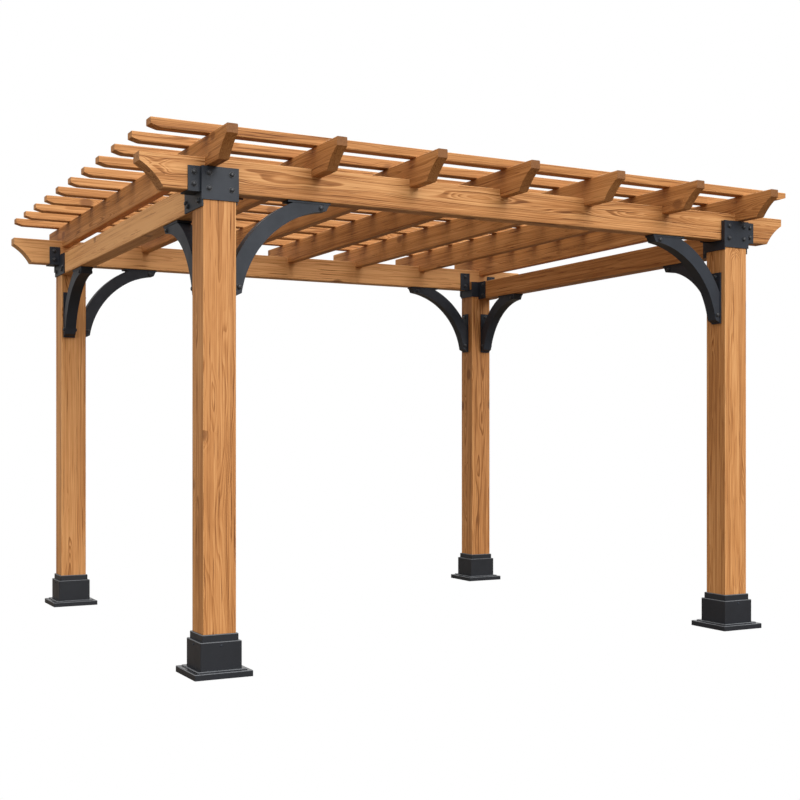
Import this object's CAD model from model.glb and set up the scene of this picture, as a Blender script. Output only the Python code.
# %% [markdown]
# # A timber pergola with charcoal steel fittings
# The real object is a kit of sawn softwood timbers held together by powder-coated steel: post bases,
# post-top connectors and curved knee braces. The frame that we load already holds every timber and every
# fitting at its real size, in metres, so nothing here is moved or fitted.

# %% Load the frame
import math
import bpy
from mathutils import Matrix, Vector


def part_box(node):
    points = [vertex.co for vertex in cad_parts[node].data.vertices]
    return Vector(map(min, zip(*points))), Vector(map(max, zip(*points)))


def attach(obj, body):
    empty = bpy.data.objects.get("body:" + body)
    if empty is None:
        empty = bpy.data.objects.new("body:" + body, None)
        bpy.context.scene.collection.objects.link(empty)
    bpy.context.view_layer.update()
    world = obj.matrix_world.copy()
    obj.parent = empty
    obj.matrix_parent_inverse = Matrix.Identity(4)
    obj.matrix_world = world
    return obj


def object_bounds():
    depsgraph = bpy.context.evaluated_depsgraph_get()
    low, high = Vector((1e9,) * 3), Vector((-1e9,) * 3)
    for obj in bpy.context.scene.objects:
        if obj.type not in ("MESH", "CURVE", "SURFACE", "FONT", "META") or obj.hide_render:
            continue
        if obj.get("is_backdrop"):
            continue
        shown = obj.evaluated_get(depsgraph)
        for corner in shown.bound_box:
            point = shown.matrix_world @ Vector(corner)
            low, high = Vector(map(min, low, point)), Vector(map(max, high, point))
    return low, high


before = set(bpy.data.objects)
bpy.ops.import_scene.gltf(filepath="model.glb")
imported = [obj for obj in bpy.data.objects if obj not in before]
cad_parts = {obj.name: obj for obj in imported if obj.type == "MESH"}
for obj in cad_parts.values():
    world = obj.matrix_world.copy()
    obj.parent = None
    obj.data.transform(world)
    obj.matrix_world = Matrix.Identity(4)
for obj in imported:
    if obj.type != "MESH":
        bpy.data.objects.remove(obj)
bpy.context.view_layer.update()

# %% [markdown]
# ## The camera
# A camera held level keeps upright posts upright in the picture. Tilting it up to take in the roof would
# make the posts lean together, so a photographer shifts the lens instead, and the camera here does the same.
# The lens is given by its focal length in picture widths, times Blender's sensor width of 36 mm.

# %% Camera
SENSOR_MM = 36.0
FOCAL_IN_WIDTHS = 1.5814
LENS_SHIFT_UP = 0.0450
CAMERA_PLACE = Vector((-3.3448, -6.5916, 1.0412))
CAMERA_TURN = 0.4873

lens = bpy.data.cameras.new("camera")
lens.sensor_width = SENSOR_MM
lens.lens = SENSOR_MM * FOCAL_IN_WIDTHS
lens.shift_y = LENS_SHIFT_UP
camera = bpy.data.objects.new("camera", lens)
camera.location = CAMERA_PLACE
camera.rotation_euler = (math.radians(90), 0.0, -CAMERA_TURN)
bpy.context.scene.collection.objects.link(camera)
bpy.context.scene.camera = camera
print("camera: lens", round(lens.lens, 1), "mm, shifted up by", LENS_SHIFT_UP, "of the picture")

# %% [markdown]
# ## Small helpers for node trees
# A material is a network of nodes. Making each node and each link by hand takes many lines, so a few helpers
# do the common things: add a node, feed a socket from another socket or from a plain number, do a sum on
# numbers or on vectors, and stretch one range of numbers onto another.

# %% Node helpers
def add_node(tree, kind, **settings):
    """Adds a node and sets its properties."""
    node = tree.nodes.new(kind)
    for name, value in settings.items():
        setattr(node, name, value)
    return node


def feed(tree, socket, source):
    """Links a socket from another one, or sets it to a plain value."""
    if isinstance(source, bpy.types.NodeSocket):
        tree.links.new(source, socket)
    else:
        socket.default_value = source


def calc(tree, operation, *values):
    """One sum on numbers."""
    node = add_node(tree, "ShaderNodeMath", operation=operation)
    for socket, value in zip(node.inputs, values):
        feed(tree, socket, value)
    return node.outputs[0]


def vector_calc(tree, operation, *values):
    """One sum on vectors, which gives a vector or, for a dot product or a length, a number."""
    node = add_node(tree, "ShaderNodeVectorMath", operation=operation)
    for socket, value in zip(node.inputs, values):
        feed(tree, socket, value)
    gives_number = operation in ("DOT_PRODUCT", "LENGTH")
    return node.outputs["Value" if gives_number else "Vector"]


def remap(tree, value, low, high, to_low=0.0, to_high=1.0):
    """Turns the range low to high into another range, with soft ends."""
    node = add_node(tree, "ShaderNodeMapRange", interpolation_type="SMOOTHSTEP")
    for name, source in (("Value", value), ("From Min", low), ("From Max", high),
                         ("To Min", to_low), ("To Max", to_high)):
        feed(tree, node.inputs[name], source)
    return node.outputs["Result"]


print("node helpers ready")

# %% [markdown]
# ## Helpers for patterns and groups
# Most of the patterns here are noise that is stretched along one axis, read as an amount and turned into
# colour. A pattern that several materials share lives in a node group with named sockets, so that each
# material can place it with its own values.

# %% Pattern helpers
NOISE_ROUGHNESS = 0.55
MIX_AMOUNT, MIX_FIRST, MIX_SECOND, MIX_RESULT = 0, 6, 7, 2


def stretched_noise(tree, point, stretch, detail):
    """Noise from 0 to 1 whose features are 1 / stretch metres long on each axis."""
    node = add_node(tree, "ShaderNodeTexNoise")
    feed(tree, node.inputs["Vector"], vector_calc(tree, "MULTIPLY", point, stretch))
    node.inputs["Scale"].default_value = 1.0
    node.inputs["Detail"].default_value = detail
    node.inputs["Roughness"].default_value = NOISE_ROUGHNESS
    return node.outputs["Fac"]


def mix_colour(tree, amount, first, second):
    """Mixes two colours by an amount from 0 to 1."""
    node = add_node(tree, "ShaderNodeMix", data_type="RGBA")
    for place, source in ((MIX_AMOUNT, amount), (MIX_FIRST, first), (MIX_SECOND, second)):
        feed(tree, node.inputs[place], source)
    return node.outputs[MIX_RESULT]


def colour_ramp(tree, value, stops):
    """Reads a colour from a list of (place, red, green, blue)."""
    node = add_node(tree, "ShaderNodeValToRGB")
    elements = node.color_ramp.elements
    while len(elements) < len(stops):
        elements.new(0.5)
    for element, (place, red, green, blue) in zip(elements, stops):
        element.position = place
        element.color = (red, green, blue, 1.0)
    feed(tree, node.inputs["Fac"], value)
    return node.outputs["Color"]


def new_group(name, inputs, outputs):
    """A shader node group with named sockets, and its two end nodes."""
    group = bpy.data.node_groups.new(name, "ShaderNodeTree")
    for label, kind in inputs:
        group.interface.new_socket(label, in_out="INPUT", socket_type=kind)
    for label, kind in outputs:
        group.interface.new_socket(label, in_out="OUTPUT", socket_type=kind)
    return group, add_node(group, "NodeGroupInput"), add_node(group, "NodeGroupOutput")


def dress(material, pattern, bump_strength, bump_distance, specular):
    """Feeds a group's colour, roughness and height to the material's shader."""
    tree = material.node_tree
    shader = tree.nodes["Principled BSDF"]
    bump = add_node(tree, "ShaderNodeBump")
    bump.inputs["Strength"].default_value = bump_strength
    bump.inputs["Distance"].default_value = bump_distance
    feed(tree, bump.inputs["Height"], pattern.outputs["Height"])
    feed(tree, shader.inputs["Base Color"], pattern.outputs["Color"])
    feed(tree, shader.inputs["Roughness"], pattern.outputs["Roughness"])
    feed(tree, shader.inputs["Normal"], bump.outputs["Normal"])
    shader.inputs["Specular IOR Level"].default_value = specular


VECTOR, NUMBER, COLOUR = "NodeSocketVector", "NodeSocketFloat", "NodeSocketColor"
SURFACE = [("Color", COLOUR), ("Roughness", NUMBER), ("Height", NUMBER)]
print("pattern helpers ready, a surface pattern gives", [label for label, kind in SURFACE])

# %% [markdown]
# ## The grain of oiled softwood: knots
# A plank is cut from a trunk, so its grain is a solid pattern: growth rings around a pith line that runs
# along the plank, with knots where branches grew. An image could not follow that around the corners of a
# beam, but a pattern worked out in three dimensions does, and the cut ends show rings for free. Knots come
# first. A cell pattern scatters points through the wood, chance picks a few of the cells, and the distance
# from a cell's point gives the knot's core, its dark rim and a wider zone in which the rings bend.

# %% Knots
KNOT_CELLS = (4.4, 6.5, 6.5)
KNOT_RARITY = 0.84
KNOT_CORE = (0.14, 0.11)
KNOT_RIM = (0.21, 0.13)
KNOT_ZONE = (0.48, 0.05)


def add_knots(tree, place):
    """Masks for the core, the rim and the zone around each knot."""
    cells = add_node(tree, "ShaderNodeTexVoronoi")
    feed(tree, cells.inputs["Vector"], vector_calc(tree, "MULTIPLY", place, KNOT_CELLS))
    cells.inputs["Scale"].default_value = 1.0
    pick = add_node(tree, "ShaderNodeSeparateColor")
    feed(tree, pick.inputs[0], cells.outputs["Color"])
    rare = calc(tree, "GREATER_THAN", pick.outputs[0], KNOT_RARITY)
    return [calc(tree, "MULTIPLY", remap(tree, cells.outputs["Distance"], *reach), rare)
            for reach in (KNOT_CORE, KNOT_RIM, KNOT_ZONE)]


print("knots: in about", round(100 * (1 - KNOT_RARITY)), "of 100 cells")

# %% [markdown]
# ## Growth rings
# The distance from the pith, divided by the width of a ring, counts the years, and the fraction of a year
# tells pale early wood from dark late wood. A trunk is never straight, so a slow and a quicker wander are
# added to the distance. Where a face cuts the rings at a flat angle, the wander opens them into long arches.
# Real rings also differ in width and strength, so two noises that depend on the distance alone change both.

# %% Rings
RING_WIDTH = 0.0038
PITH_AWAY = 0.030
PITH_TURN = 2.4
ACROSS_PLANK = (0.0, 1.0, 1.0)
SLOW_WANDER, SLOW_REACH = (0.6, 5.0, 5.0), 0.090
QUICK_WANDER, QUICK_REACH = (1.7, 13.0, 13.0), 0.028
WANDER_DETAIL = 2.0
KNOT_BEND = 0.013
WIDTH_CHANGES, WIDTH_YEARS = 70.0, 3.0
STRENGTH_CHANGES, STRENGTH_RANGE = 60.0, (0.35, 0.65, 0.20, 1.0)
LATE_STARTS, LATE_ENDS = (0.20, 0.85), (1.0, 0.88)
UNEVEN_DETAIL = 2.0


def uneven(tree, value, scale, seed):
    """Noise from 0 to 1 that changes along one number only."""
    node = add_node(tree, "ShaderNodeTexNoise", noise_dimensions="1D")
    feed(tree, node.inputs["W"], calc(tree, "MULTIPLY_ADD", value, scale, seed))
    node.inputs["Scale"].default_value = 1.0
    node.inputs["Detail"].default_value = UNEVEN_DETAIL
    return node.outputs["Fac"]


def add_rings(tree, point, place, seed, knot_zone):
    """A mask for the dark late wood of each growth ring."""
    slow = stretched_noise(tree, place, SLOW_WANDER, WANDER_DETAIL)
    quick = stretched_noise(tree, place, QUICK_WANDER, WANDER_DETAIL)
    wander = calc(tree, "MULTIPLY_ADD", quick, QUICK_REACH, calc(tree, "MULTIPLY", slow, SLOW_REACH))
    pith = add_node(tree, "ShaderNodeCombineXYZ")
    turn = calc(tree, "MULTIPLY", seed, PITH_TURN)
    feed(tree, pith.inputs["Y"], calc(tree, "MULTIPLY", calc(tree, "COSINE", turn), PITH_AWAY))
    feed(tree, pith.inputs["Z"], calc(tree, "MULTIPLY", calc(tree, "SINE", turn), PITH_AWAY))
    from_pith = vector_calc(tree, "SUBTRACT", point, pith.outputs[0])
    across = vector_calc(tree, "MULTIPLY", from_pith, ACROSS_PLANK)
    away = calc(tree, "ADD", vector_calc(tree, "LENGTH", across), wander)
    away = calc(tree, "MULTIPLY_ADD", knot_zone, KNOT_BEND, away)
    years = calc(tree, "DIVIDE", away, RING_WIDTH)
    years = calc(tree, "MULTIPLY_ADD", uneven(tree, away, WIDTH_CHANGES, seed), WIDTH_YEARS, years)
    season = calc(tree, "FRACT", years)
    late = calc(tree, "MULTIPLY", remap(tree, season, *LATE_STARTS), remap(tree, season, *LATE_ENDS))
    strength = remap(tree, uneven(tree, away, STRENGTH_CHANGES, seed), *STRENGTH_RANGE)
    return calc(tree, "MULTIPLY", late, strength)


print("rings: about", round(RING_WIDTH * 1000, 1), "mm wide")

# %% [markdown]
# ## Streaks, cracks and the colour of the wood
# Over the rings lie slow patches of tone, streaks, fine lines and fibres, all of them noise that is stretched
# along the plank, and short dark cracks where one more noise peaks. They are added up to one figure, which is
# scaled by a contrast, shifted by a tone and read as a colour, from dark red brown to pale honey. The group
# takes a point with X along the plank, a seed that makes planks differ, the tone and the contrast, and masks
# for the cut ends, which are darker, and for the eased long edges, which handling has rubbed a little paler.

# %% Cedar grain group
SEED_STEPS = (3.71, 1.93, 2.57)
NOISE_SHAPES = {"patch": ((0.8, 5.0, 5.0), 2.0), "streak": ((0.7, 38.0, 38.0), 4.0),
                "line": ((2.0, 160.0, 160.0), 3.0), "fibre": ((6.0, 330.0, 330.0), 3.0)}
NOISE_STRENGTHS = {"patch": 0.60, "streak": 0.50, "line": 1.10, "fibre": 0.55}
NOISE_MEAN = 0.5
CRACK_STRETCH, CRACK_DETAIL, CRACK_PEAKS = (3.0, 150.0, 150.0), 2.0, (0.645, 0.715)
LATE_DARKER, CRACK_DARKER, EDGE_PALER = -0.44, -0.70, 0.20
WOOD_COLOURS = [(0.12, 0.140, 0.045, 0.010), (0.40, 0.335, 0.133, 0.036),
                (0.62, 0.490, 0.217, 0.070), (0.95, 0.670, 0.355, 0.142)]
RIM_COLOUR = (0.130, 0.046, 0.013, 1.0)
CORE_COLOUR = (0.230, 0.088, 0.026, 1.0)
CUT_END_COLOUR = (0.150, 0.062, 0.021, 1.0)
KNOT_SHOWS = 0.55
WOOD_ROUGH, FIBRE_ROUGHER = 0.46, 0.22
LATE_HIGHER, RIM_HIGHER = 0.35, -0.5


def make_cedar_group():
    """Colour, roughness and height of oiled cedar at a point of a plank."""
    tree, given, result = new_group(
        "cedar grain",
        [("Point", VECTOR), ("Seed", NUMBER), ("Tone", NUMBER), ("Contrast", NUMBER),
         ("Cut End", NUMBER), ("Eased Edge", NUMBER)], SURFACE)
    point, seed = given.outputs["Point"], given.outputs["Seed"]
    offset = add_node(tree, "ShaderNodeCombineXYZ")
    for socket, step in zip(offset.inputs, SEED_STEPS):
        feed(tree, socket, calc(tree, "MULTIPLY", seed, step))
    place = vector_calc(tree, "ADD", point, offset.outputs[0])
    core, rim, knot_zone = add_knots(tree, place)
    late = add_rings(tree, point, place, seed, knot_zone)

    noises = {name: stretched_noise(tree, place, *shape) for name, shape in NOISE_SHAPES.items()}
    figure = -NOISE_MEAN * sum(NOISE_STRENGTHS.values())
    for name, strength in NOISE_STRENGTHS.items():
        figure = calc(tree, "MULTIPLY_ADD", noises[name], strength, figure)
    crack = remap(tree, stretched_noise(tree, place, CRACK_STRETCH, CRACK_DETAIL), *CRACK_PEAKS)
    for mask, strength in ((late, LATE_DARKER), (crack, CRACK_DARKER)):
        figure = calc(tree, "MULTIPLY_ADD", mask, strength, figure)
    level = calc(tree, "MULTIPLY_ADD", given.outputs["Eased Edge"], EDGE_PALER, given.outputs["Tone"])
    level = calc(tree, "MULTIPLY_ADD", figure, given.outputs["Contrast"], level)

    colour = colour_ramp(tree, level, WOOD_COLOURS)
    colour = mix_colour(tree, calc(tree, "MULTIPLY", rim, KNOT_SHOWS), colour, RIM_COLOUR)
    colour = mix_colour(tree, calc(tree, "MULTIPLY", core, KNOT_SHOWS), colour, CORE_COLOUR)
    colour = mix_colour(tree, given.outputs["Cut End"], colour, CUT_END_COLOUR)
    feed(tree, result.inputs["Color"], colour)
    rough = calc(tree, "MULTIPLY_ADD", noises["fibre"], FIBRE_ROUGHER, WOOD_ROUGH)
    feed(tree, result.inputs["Roughness"], rough)
    height = calc(tree, "MULTIPLY_ADD", late, LATE_HIGHER, noises["fibre"])
    feed(tree, result.inputs["Height"], calc(tree, "MULTIPLY_ADD", rim, RIM_HIGHER, height))
    return tree


cedar_group = make_cedar_group()
print("cedar grain group:", len(cedar_group.nodes), "nodes")

# %% [markdown]
# ## A finish for each timber
# Every plank comes from another part of a trunk, so each gets its own copy of the finish: the Mapping node
# brings the pattern to the plank's middle and turns it so that X runs along the plank, and the seed, the tone
# and the contrast change from plank to plank. The cut ends are the faces that look along the plank, and they
# drink more oil, so they come out darker. The eased edges are the narrow faces between two sides of the
# plank, so their direction lies between the two axes across it.

# %% Finish of one timber
TURN_TO = {"x": (0.0, 0.0, 0.0), "y": (0.0, 0.0, math.radians(90)), "z": (0.0, math.radians(-90), 0.0)}
UNIT = {"x": (1.0, 0.0, 0.0), "y": (0.0, 1.0, 0.0), "z": (0.0, 0.0, 1.0)}
END_FACES = (0.45, 0.9)
EDGE_FACES = (0.15, 0.42)
WOOD_BUMP, WOOD_BUMP_DEPTH, WOOD_SPECULAR = 0.35, 0.0012, 0.22


def cedar_finish(name, middle, along, seed, tone, contrast, end_dark):
    """Oiled cedar for one timber that runs along an axis, with darker cut ends."""
    material = bpy.data.materials.new(name)
    material.use_nodes = True
    tree = material.node_tree
    place = add_node(tree, "ShaderNodeMapping", vector_type="TEXTURE")
    place.inputs["Location"].default_value = middle
    place.inputs["Rotation"].default_value = TURN_TO[along]
    feed(tree, place.inputs["Vector"], add_node(tree, "ShaderNodeTexCoord").outputs["Object"])
    normal = add_node(tree, "ShaderNodeNewGeometry").outputs["Normal"]
    facing = {axis: calc(tree, "ABSOLUTE", vector_calc(tree, "DOT_PRODUCT", normal, unit))
              for axis, unit in UNIT.items()}
    between = calc(tree, "MULTIPLY", *(facing[axis] for axis in UNIT if axis != along))
    grain = add_node(tree, "ShaderNodeGroup", node_tree=cedar_group)
    feed(tree, grain.inputs["Point"], place.outputs[0])
    grain.inputs["Seed"].default_value = seed
    grain.inputs["Tone"].default_value = tone
    grain.inputs["Contrast"].default_value = contrast
    feed(tree, grain.inputs["Cut End"], remap(tree, facing[along], *END_FACES, 0.0, end_dark))
    feed(tree, grain.inputs["Eased Edge"], remap(tree, between, *EDGE_FACES))
    dress(material, grain, WOOD_BUMP, WOOD_BUMP_DEPTH, WOOD_SPECULAR)
    return material


def grain_axis(name):
    """The axis that a timber runs along, which is its longest side."""
    low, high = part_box(name)
    size = high - low
    return "xyz"[max(range(3), key=lambda axis: size[axis])]


print("timber finish ready, the front beam runs along", grain_axis("front_beam"))

# %% [markdown]
# ## Tones of the timbers
# Each kind of timber has its own tone, set by eye. The rafters under the slats are a little darker and their
# grain is softer, the long beams show their grain most, and the rafters' sawn ends are the darkest. A cosine
# of the timber's number spreads the tones a little, in the same way on each run.

# %% Timber finishes
TONE_MIDDLE = 0.690
TONE_SPREAD = 0.03
TONE_STEP = 2.3
SEED_START, SEED_STEP = 0.9, 2.17
PALER = {"front_left_post": -0.04, "front_right_post": 0.01, "rear_left_post": 0.06, "left_side_beam": 0.22,
         "rear_beam": 0.35, "right_side_beam": -0.16, "front_beam": 0.04, "rafter": -0.11}
CONTRAST = {"rafter": 0.60, "front_beam": 1.1, "rear_beam": 1.1, "right_side_beam": 0.70}
CONTRAST_ELSE = 0.82
END_DARK = {"rafter": 0.72, "front_beam": 0.35, "rear_beam": 0.35}
END_DARK_ELSE = 0.15

TIMBERS = sorted(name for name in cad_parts
                 if name.endswith(("_post", "_beam")) or name.startswith(("rafter_", "slat_")))
for number, name in enumerate(TIMBERS):
    low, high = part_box(name)
    kind = name.rstrip("_0123456789")
    tone = TONE_MIDDLE + TONE_SPREAD * math.cos(number * TONE_STEP) + PALER.get(kind, 0.0)
    seed = number * SEED_STEP + SEED_START
    finish = cedar_finish("cedar " + name, (low + high) / 2, grain_axis(name), seed, tone,
                          CONTRAST.get(kind, CONTRAST_ELSE), END_DARK.get(kind, END_DARK_ELSE))
    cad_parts[name].material_slots[0].material = finish
print("timbers finished:", len(TIMBERS))

# %% [markdown]
# ## Charcoal powder coat
# Powder coat is a plastic skin baked onto steel. It is matt and dark, with the fine dimples of an orange's
# skin, and it looks a little paler where handling has polished it. A group gives that skin to the fittings
# and, with other values, to the bolts. The chamfers along the upper edges of the bases are rubbed pale. They
# are the only faces there that look half up, so the surface's own direction tells where they are.

# %% Powder coat group
CLOUD_STRETCH, CLOUD_DETAIL, CLOUD_SHARE = (9.0, 9.0, 9.0), 4.0, 0.65
SPECK_STRETCH, SPECK_DETAIL, SPECK_SHARE = (420.0, 420.0, 420.0), 2.0, 0.35
SHADE_RANGE = (0.25, 0.75)
COAT_ROUGH, CLOUD_ROUGHER = 0.62, -0.16
RUBBED_EDGE = (0.130, 0.138, 0.150, 1.0)


def make_coat_group():
    """Colour, roughness and height of matt powder coat."""
    tree, given, result = new_group(
        "powder coat",
        [("Point", VECTOR), ("Dark", COLOUR), ("Pale", COLOUR), ("Smooth", NUMBER), ("Edge", NUMBER)],
        SURFACE)
    point = given.outputs["Point"]
    cloud = stretched_noise(tree, point, CLOUD_STRETCH, CLOUD_DETAIL)
    speck = stretched_noise(tree, point, SPECK_STRETCH, SPECK_DETAIL)
    shade = calc(tree, "MULTIPLY_ADD", speck, SPECK_SHARE, calc(tree, "MULTIPLY", cloud, CLOUD_SHARE))
    skin = mix_colour(tree, remap(tree, shade, *SHADE_RANGE), given.outputs["Dark"], given.outputs["Pale"])
    feed(tree, result.inputs["Color"], mix_colour(tree, given.outputs["Edge"], skin, RUBBED_EDGE))
    rough = calc(tree, "MULTIPLY_ADD", cloud, CLOUD_ROUGHER, COAT_ROUGH)
    feed(tree, result.inputs["Roughness"], calc(tree, "SUBTRACT", rough, given.outputs["Smooth"]))
    feed(tree, result.inputs["Height"], speck)
    return tree


coat_group = make_coat_group()
print("powder coat group:", len(coat_group.nodes), "nodes")

# %% [markdown]
# ## Coats of the fittings, bases and bolts
# Three coats use the group: a bluish charcoal on the connectors and braces, a more neutral one on the bases
# with their rubbed edges, and a paler and smoother black on the bolts, which catch small highlights.

# %% Steel finishes
LOOKS_UP, LOOKS_TOO_FAR_UP = (0.50, 0.62), (0.92, 0.80)
COAT_BUMP, COAT_BUMP_DEPTH, COAT_SPECULAR = 0.25, 0.0006, 0.3
FITTING_DARK, FITTING_PALE, FITTING_SMOOTH = (0.0115, 0.0157, 0.0235), (0.0215, 0.0275, 0.0390), 0.06
BASE_DARK, BASE_PALE, BASE_SMOOTH = (0.0105, 0.0122, 0.0160), (0.0180, 0.0205, 0.0260), 0.14
BOLT_DARK, BOLT_PALE, BOLT_SMOOTH = (0.022, 0.025, 0.030), (0.044, 0.048, 0.055), 0.20


def coat_finish(name, dark, pale, smooth, rubbed=False):
    """Powder coat between a dark and a pale shade, with or without rubbed upper edges."""
    material = bpy.data.materials.new(name)
    material.use_nodes = True
    tree = material.node_tree
    coat = add_node(tree, "ShaderNodeGroup", node_tree=coat_group)
    feed(tree, coat.inputs["Point"], add_node(tree, "ShaderNodeTexCoord").outputs["Object"])
    coat.inputs["Dark"].default_value = (*dark, 1.0)
    coat.inputs["Pale"].default_value = (*pale, 1.0)
    coat.inputs["Smooth"].default_value = smooth
    if rubbed:
        normal = add_node(tree, "ShaderNodeNewGeometry").outputs["Normal"]
        upward = vector_calc(tree, "DOT_PRODUCT", normal, UNIT["z"])
        up_enough = remap(tree, upward, *LOOKS_UP)
        not_too_far = remap(tree, upward, *LOOKS_TOO_FAR_UP)
        feed(tree, coat.inputs["Edge"], calc(tree, "MULTIPLY", up_enough, not_too_far))
    dress(material, coat, COAT_BUMP, COAT_BUMP_DEPTH, COAT_SPECULAR)
    return material


fitting_coat = coat_finish("charcoal coat", FITTING_DARK, FITTING_PALE, FITTING_SMOOTH)
base_coat = coat_finish("base coat", BASE_DARK, BASE_PALE, BASE_SMOOTH, rubbed=True)
bolt_coat = coat_finish("bolt black", BOLT_DARK, BOLT_PALE, BOLT_SMOOTH)
for name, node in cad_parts.items():
    if name.endswith("_base"):
        node.material_slots[0].material = base_coat
    elif name.endswith(("_connector", "_brace")):
        node.material_slots[0].material = fitting_coat
print("steel finishes:", [coat.name for coat in (fitting_coat, base_coat, bolt_coat)])

# %% [markdown]
# ## A domed bolt head
# The connectors and braces are held by black bolts with a round washer under a low domed head. One head is
# modelled as by hand: a short cylinder for the washer, whose top is inset, pulled up and narrowed in a few
# steps until it is a dome. It is then copied to each place where the fittings are bolted.

# %% Bolt head
WASHER_RADIUS = 0.0135
WASHER_THICK = 0.0025
HEAD_RADIUS = 0.0105
DOME_STEPS = [(0.0040, 1.00), (0.0022, 0.86), (0.0014, 0.70), (0.0006, 0.50)]
BOLT_SIDES = 20
SMOOTH_BELOW = math.radians(40)


def start_primitive():
    """Leaves edit mode and clears the selection before something new is added."""
    if bpy.context.object and bpy.context.object.mode != "OBJECT":
        bpy.ops.object.mode_set(mode="OBJECT")
    bpy.ops.object.select_all(action="DESELECT")


def select_top_face(piece):
    """Selects only the highest face of a mesh in edit mode."""
    bpy.ops.mesh.select_all(action="DESELECT")
    bpy.ops.object.mode_set(mode="OBJECT")
    top = max(piece.data.polygons, key=lambda face: face.center.z)
    top.select = True
    bpy.ops.object.mode_set(mode="EDIT")


def make_bolt_head(name, washer_radius, washer_thick, head_radius, steps):
    """A washer and a domed head that stand on the XY plane at the origin."""
    start_primitive()
    bpy.ops.mesh.primitive_cylinder_add(vertices=BOLT_SIDES, radius=washer_radius, depth=washer_thick,
                                        location=(0.0, 0.0, washer_thick / 2))
    bolt = bpy.context.object
    bolt.name = name
    bpy.ops.object.transform_apply(location=True, rotation=True, scale=True)
    bpy.ops.object.mode_set(mode="EDIT")
    bpy.ops.mesh.select_mode(type="FACE")
    select_top_face(bolt)
    bpy.ops.mesh.inset(thickness=washer_radius - head_radius, depth=0.0)
    level = washer_thick
    for rise, share in steps:
        level += rise
        bpy.ops.mesh.extrude_region_move(TRANSFORM_OT_translate={"value": (0.0, 0.0, rise)})
        bpy.ops.transform.resize(value=(share, share, 1.0), center_override=(0.0, 0.0, level))
    bpy.ops.object.mode_set(mode="OBJECT")
    bpy.ops.object.shade_smooth_by_angle(angle=SMOOTH_BELOW)
    return bolt


bolt_head = make_bolt_head("bolt_head", WASHER_RADIUS, WASHER_THICK, HEAD_RADIUS, DOME_STEPS)
bolt_height = round(bolt_head.dimensions.z * 1000, 1)
print("bolt head:", len(bolt_head.data.polygons), "faces,", bolt_height, "mm high")

# %% [markdown]
# ## Where the bolts go
# Each corner of the pergola is a mirror of the others, so a place is given once, for the front left corner,
# as distances from the post's axis. A small function turns it into a place in the pergola, and points the
# bolt away from the plate that it sits on.

# %% Corners and placing
CORNERS = {"front_left": (-1, -1), "front_right": (1, -1), "rear_left": (-1, 1), "rear_right": (1, 1)}


def post_middle(corner):
    """The middle of a corner's post."""
    low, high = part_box(corner + "_post")
    return (low + high) / 2


def corner_place(corner, place, normal):
    """A matrix that puts a bolt at a place given for the front left corner."""
    side_x, side_y = CORNERS[corner]
    middle = post_middle(corner)
    spot = Vector((middle.x - side_x * place[0], middle.y - side_y * place[1], place[2]))
    facing = Vector((-side_x * normal[0], -side_y * normal[1], normal[2]))
    return Matrix.Translation(spot) @ facing.to_track_quat("Z", "Y").to_matrix().to_4x4()


def place_copies(name, model, places, finish):
    """Copies a model to many places and joins the copies into one piece."""
    start_primitive()
    copies = []
    for place in places:
        copy = model.copy()
        copy.data = model.data.copy()
        copy.matrix_world = place
        bpy.context.scene.collection.objects.link(copy)
        copies.append(copy)
    bpy.context.view_layer.update()
    for copy in copies:
        copy.select_set(True)
    bpy.context.view_layer.objects.active = copies[0]
    bpy.ops.object.join()
    piece = bpy.context.object
    bpy.ops.object.transform_apply(location=True, rotation=True, scale=True)
    piece.name = name
    piece.data.materials.clear()
    piece.data.materials.append(finish)
    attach(piece, "root")
    return piece


def local_box(corner, node):
    """A node's box as distances from its corner's post axis, as if it stood at the front left."""
    side_x, side_y = CORNERS[corner]
    middle = post_middle(corner)
    node_low, node_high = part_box(node)
    xs = sorted(-side_x * (v - middle.x) for v in (node_low.x, node_high.x))
    ys = sorted(-side_y * (v - middle.y) for v in (node_low.y, node_high.y))
    return Vector((xs[0], ys[0], node_low.z)), Vector((xs[1], ys[1], node_high.z))


print("corners:", list(CORNERS))

# %% [markdown]
# ## Bolts of the post-top connectors
# The front plate has four bolts, each flange of the saddle around the beam's tail two, the side plate three,
# and the small plates inside the corner two each. Their places are read from the boxes of the connector, the
# post, the beams and the rafter above, so they stay on the steel if a size changes. Only what no box tells is
# given here: how far the front plate stands past the post and below the beam, its gap to the rafter, and how
# far a bolt sits from the edges of its plate.

# %% Connector bolts
LEFT, FRONT, REAR, RIGHT = (-1, 0, 0), (0, -1, 0), (0, 1, 0), (1, 0, 0)
PLATE_SIDE = 0.010
PLATE_DROP = 0.040
PLATE_GAP = 0.003
FRONT_BOLT_COLUMNS = (-0.60, 0.62)
FRONT_BOLT_ROWS = (0.20, 0.66)
BOLT_EDGE = 0.026
BOLT_STEP = 0.030


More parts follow.
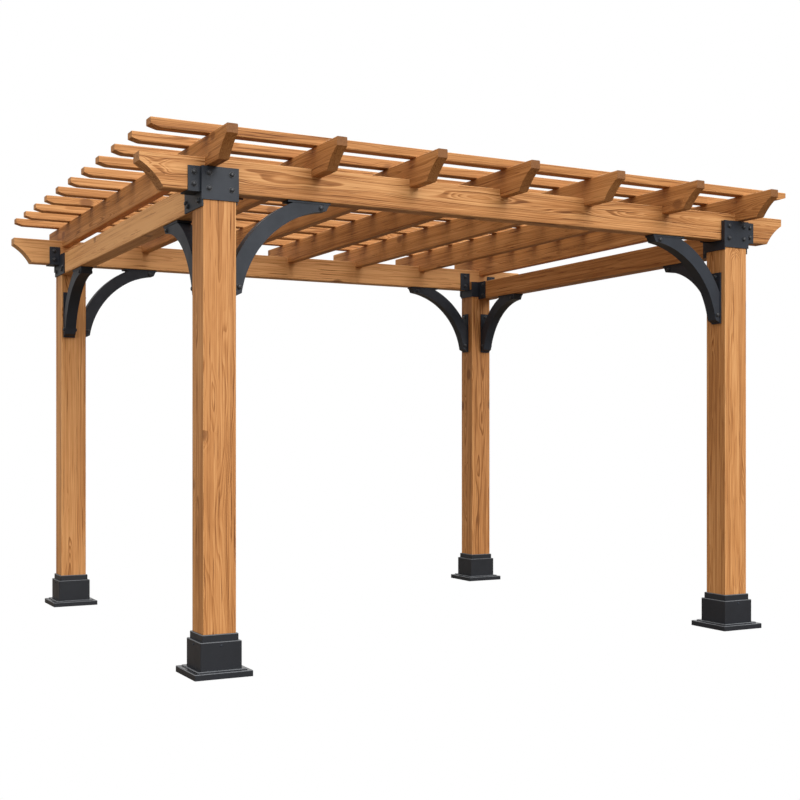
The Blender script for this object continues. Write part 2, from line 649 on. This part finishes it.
def connector_bolts(corner):
    """Places of the bolts of one connector."""
    row, column = corner.split("_")
    low, high = local_box(corner, corner + "_connector")
    post_low, post_high = local_box(corner, corner + "_post")
    beam_low, beam_high = local_box(corner, row + "_beam")
    side_low, side_high = local_box(corner, column + "_side_beam")
    plate = post_low.y - low.y
    front_half = post_high.x + PLATE_SIDE
    front_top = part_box("rafter_1")[0].z - PLATE_GAP
    front_height = front_top - (beam_low.z - PLATE_DROP)
    places = []
    for column_share in FRONT_BOLT_COLUMNS:
        for row_share in FRONT_BOLT_ROWS:
            places.append(((column_share * front_half, low.y, front_top - row_share * front_height), FRONT))
    flange_x = (low.x - front_half) / 2
    for z in (front_top - BOLT_EDGE, beam_low.z + BOLT_EDGE):
        places.append(((flange_x, beam_low.y - plate, z), FRONT))
        places.append(((flange_x, beam_high.y + plate, z), REAR))
    side_face = post_low.x - plate
    places.append(((side_face, high.y - BOLT_EDGE, beam_low.z - BOLT_EDGE), LEFT))
    places.append(((side_face, high.y - 2 * BOLT_EDGE, side_low.z + BOLT_EDGE), LEFT))
    places.append(((side_face, -BOLT_STEP, beam_low.z - BOLT_EDGE - BOLT_STEP / 2), LEFT))
    for z in (side_high.z - BOLT_EDGE, side_low.z + BOLT_EDGE):
        places.append(((side_high.x + plate, high.y - BOLT_EDGE, z), RIGHT))
    ear_middle = (post_high.x + high.x) / 2
    for z in (high.z - BOLT_EDGE, beam_low.z + BOLT_EDGE):
        places.append(((ear_middle, beam_high.y + plate, z), REAR))
    return [corner_place(corner, place, normal) for place, normal in places]


for corner in CORNERS:
    bolts = place_copies(corner + "_connector_bolts", bolt_head, connector_bolts(corner), bolt_coat)
    print(bolts.name, len(bolts.data.polygons), "faces")

# %% [markdown]
# ## Bolts of the knee braces
# Near each toe of a brace a bolt goes through from side to side, and one more holds the free end of each end
# plate to its timber. A brace lies along X under a long beam or along Y under a side beam, so the places are
# given as distances along the beam, down from it and across it.

# %% Brace bolts
ARM_WIDTH = 0.064
PLATE_THICK = 0.010
HEAD_PLATE_LENGTH = 0.208
FOOT_PLATE_LENGTH = 0.276
TOE_BOLT_IN = 0.026
TOE_BOLT_BACK = 0.046
PLATE_BOLT_BACK = 0.022


def brace_bolts(corner, kind):
    """Places of the bolts of one brace."""
    low, high = local_box(corner, corner + kind)
    along_x = kind == "_beam_brace"
    drop = high.z - low.z
    reach = high.x - low.x if along_x else high.y - low.y
    start = low.x if along_x else low.y
    middle = (low.y + high.y) / 2 if along_x else (low.x + high.x) / 2
    places = []

    def put(along, down, across, facing_along, facing_across, facing_up):
        if along_x:
            places.append(((start + along, middle + across, high.z - down),
                           (facing_along, facing_across, facing_up)))
        else:
            places.append(((middle + across, start + along, high.z - down),
                           (facing_across, facing_along, facing_up)))

    for side in (-1, 1):
        put(TOE_BOLT_IN, drop - TOE_BOLT_BACK, side * ARM_WIDTH / 2, 0, side, 0)
        put(reach - TOE_BOLT_BACK, TOE_BOLT_IN, side * ARM_WIDTH / 2, 0, side, 0)
    put(PLATE_THICK, drop - FOOT_PLATE_LENGTH + PLATE_BOLT_BACK, 0.0, 1, 0, 0)
    put(reach - HEAD_PLATE_LENGTH + PLATE_BOLT_BACK, PLATE_THICK, 0.0, 0, 0, -1)
    return [corner_place(corner, place, normal) for place, normal in places]


for corner in CORNERS:
    for kind in ("_beam_brace", "_side_brace"):
        bolts = place_copies(corner + kind + "_bolts", bolt_head, brace_bolts(corner, kind), bolt_coat)
        print(bolts.name, len(bolts.data.polygons), "faces")

# %% [markdown]
# ## Screws of the post bases
# A small screw near the top of the base's body, in the middle of its outer faces, fixes the base to the post.
# It is the same domed head at half the size and without a washer's rim.

# %% Base screws
SCREW_RADIUS = 0.0055
SCREW_RIM = 0.0008
SCREW_STEPS = [(0.0014, 0.88), (0.0008, 0.62)]
SCREW_SHOULDER = 0.98
SCREW_HEIGHT = 0.137
BODY_HALF = 0.094

screw_head = make_bolt_head("screw_head", SCREW_RADIUS, SCREW_RIM, SCREW_RADIUS * SCREW_SHOULDER,
                            SCREW_STEPS)
for corner in CORNERS:
    places = [corner_place(corner, (0.0, -BODY_HALF, SCREW_HEIGHT), FRONT),
              corner_place(corner, (-BODY_HALF, 0.0, SCREW_HEIGHT), LEFT)]
    screws = place_copies(corner + "_base_screws", screw_head, places, fitting_coat)
print("base screws:", 2 * len(CORNERS), "of", len(screw_head.data.polygons), "faces each")

# %% [markdown]
# ## The floor
# The pergola stands on a plain floor that the camera sees as white paper. The light that the floor throws
# back is another matter: a white floor would light the roof from below and wash out its shadows, so for every
# ray but the camera's the floor is a dim, warm brown. The light path node tells the two kinds of ray apart.

# %% Floor
FLOOR_SIZE = 80.0
FLOOR_SEEN = (1.0, 1.0, 1.0, 1.0)
FLOOR_BOUNCE = (0.150, 0.112, 0.075, 1.0)
FLOOR_ROUGH = 0.9

start_primitive()
bpy.ops.mesh.primitive_plane_add(size=FLOOR_SIZE, location=(0.0, 0.0, 0.0))
floor = bpy.context.object
floor.name = "floor"
floor_paint = bpy.data.materials.new("floor")
floor_paint.use_nodes = True
floor_tree = floor_paint.node_tree
paper = add_node(floor_tree, "ShaderNodeEmission")
paper.inputs["Color"].default_value = FLOOR_SEEN
floor_shader = floor_tree.nodes["Principled BSDF"]
floor_shader.inputs["Base Color"].default_value = FLOOR_BOUNCE
floor_shader.inputs["Roughness"].default_value = FLOOR_ROUGH
either = add_node(floor_tree, "ShaderNodeMixShader")
feed(floor_tree, either.inputs[0], add_node(floor_tree, "ShaderNodeLightPath").outputs["Is Camera Ray"])
feed(floor_tree, either.inputs[1], floor_shader.outputs[0])
feed(floor_tree, either.inputs[2], paper.outputs[0])
feed(floor_tree, floor_tree.nodes["Material Output"].inputs["Surface"], either.outputs[0])
floor.data.materials.append(floor_paint)
floor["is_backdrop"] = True
print("floor:", FLOOR_SIZE, "m wide")

# %% [markdown]
# ## Sky and lamps
# An even sky fills the shadows. The camera sees it as white, as it sees the floor, and the timbers get about
# half of that, slightly warm. A soft lamp in front lights the front faces of the timbers, a wider and weaker
# one the left faces, and a third the rear and the right ones. Each is a far lamp, so only the direction in
# which its light travels counts. The plain view transform keeps white paper white.

# %% Sky and lamps
SKY_FILL = 0.52
SKY_TINT = (1.0, 0.97, 0.93, 1.0)
SKY_SEEN = 1.0
LAMPS = [("front sun", 2.75, 40.0, (-0.16, 0.86, -0.48)),
         ("left glow", 1.40, 60.0, (0.80, 0.30, -0.52)),
         ("rear glow", 1.20, 60.0, (-0.55, -0.66, -0.52))]

world = bpy.data.worlds.new("studio")
bpy.context.scene.world = world
world.use_nodes = True
sky_tree = world.node_tree
sky = sky_tree.nodes["Background"]
seen = add_node(sky_tree, "ShaderNodeLightPath").outputs["Is Camera Ray"]
feed(sky_tree, sky.inputs["Color"], mix_colour(sky_tree, seen, SKY_TINT, FLOOR_SEEN))
feed(sky_tree, sky.inputs["Strength"], calc(sky_tree, "MULTIPLY_ADD", seen, SKY_SEEN - SKY_FILL, SKY_FILL))

for lamp_name, strength, softness, travel in LAMPS:
    lamp = bpy.data.lights.new(lamp_name, "SUN")
    lamp.energy = strength
    lamp.angle = math.radians(softness)
    sun = bpy.data.objects.new(lamp_name, lamp)
    sun.rotation_euler = Vector(travel).to_track_quat("-Z", "Y").to_euler()
    bpy.context.scene.collection.objects.link(sun)
bpy.context.scene.view_settings.view_transform = "Standard"
print("light:", len(LAMPS), "lamps and a sky of", SKY_FILL)

# %% Sizes and finish
for pattern in (bolt_head, screw_head):
    bpy.data.objects.remove(pattern)
low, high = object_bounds()
print("dressed size:", [round(v, 3) for v in high - low], "m")
